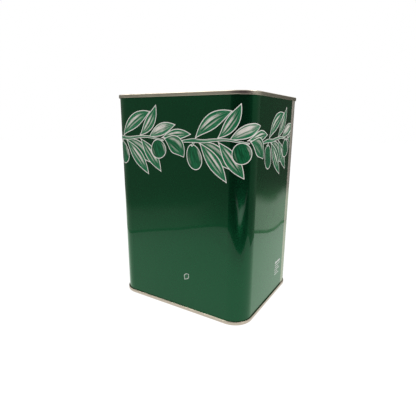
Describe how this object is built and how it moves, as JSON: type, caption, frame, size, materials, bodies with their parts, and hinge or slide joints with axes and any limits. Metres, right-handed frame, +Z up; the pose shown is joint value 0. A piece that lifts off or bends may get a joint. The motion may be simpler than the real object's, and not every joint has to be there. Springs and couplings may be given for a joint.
{
  "type": "olive oil tin",
  "caption": "Rectangular lacquered tinplate can with double seamed ends, a folding wire handle and a pull-up pouring spout under a screw cap, free standing and stackable.",
  "frame": {"origin": "middle of the base, in the plane that the tin stands on", "axes": "+Z up, wide printed face towards -Y, narrow side with the bare weld margin towards +X, spout in the front right corner of the top"},
  "size_m": [0.1452, 0.1202, 0.2],
  "materials": {
    "lacquered_sheet": "glossy lacquer over tinplate, printed garland round the upper half, bare margin at the weld",
    "weld": "bare welded overlap",
    "tinplate": "gold tinted lacquer over bright tinplate",
    "compound": "matte",
    "ear_sheet": "satin",
    "wire": "zinc plated",
    "grip": "fine grain",
    "bush": "satin",
    "gasket": "matte",
    "wiper": "matte",
    "tube": "satin",
    "ring": "satin",
    "liner": "soft foam",
    "cap": "satin",
    "bails": "satin"
  },
  "bodies": {
    "tin": {"body_wall": "lacquered_sheet", "side_seam": "weld", "top_end": "tinplate", "bottom_end": "tinplate", "top_seal": "compound", "bottom_seal": "compound", "handle_ear_left": "ear_sheet", "handle_ear_right": "ear_sheet", "spout_bush": "bush", "neck_gasket": "gasket", "guide_ring": "bush", "spout_wiper": "wiper"},
    "handle": {"handle_wire": "wire", "handle_grip": "grip"},
    "spout": {"spout_tube": "tube", "spout_neck": "tube", "tamper_ring": "ring"},
    "cap_carrier": {"cap_liner": "liner"},
    "cap": {"spout_cap": "cap"},
    "back_bail": {"bail_back": "bails"},
    "front_bail": {"bail_front": "bails"}
  },
  "joints": [
    {"name": "handle_fold", "type": "hinge", "parent": "tin", "child": "handle", "pos_m": [0, 0.006, 0.19745], "axis": [1, 0, 0], "range_deg": [0, 120]},
    {"name": "spout_slide", "type": "slide", "parent": "tin", "child": "spout", "axis": [0, 0, 1], "range_m": [0, 0.0235]},
    {"name": "cap_lift", "type": "slide", "parent": "spout", "child": "cap_carrier", "axis": [0, 0, 1], "range_m": [0, 0.012]},
    {"name": "cap_turn", "type": "hinge", "parent": "cap_carrier", "child": "cap", "pos_m": [0.043, -0.031, 0.1952], "axis": [0, 0, 1], "range_deg": [0, 1440]},
    {"name": "bail_back_fold", "type": "hinge", "parent": "cap", "child": "back_bail", "pos_m": [0.043, -0.0294, 0.1984], "axis": [1, 0, 0], "range_deg": [0, 88]},
    {"name": "bail_front_fold", "type": "hinge", "parent": "cap", "child": "front_bail", "pos_m": [0.043, -0.0326, 0.1984], "axis": [-1, 0, 0], "range_deg": [0, 88]}
  ],
  "couplings": [
    {"joint": "cap_lift", "follows": "cap_turn", "m_per_rad": 0.0004774}
  ]
}
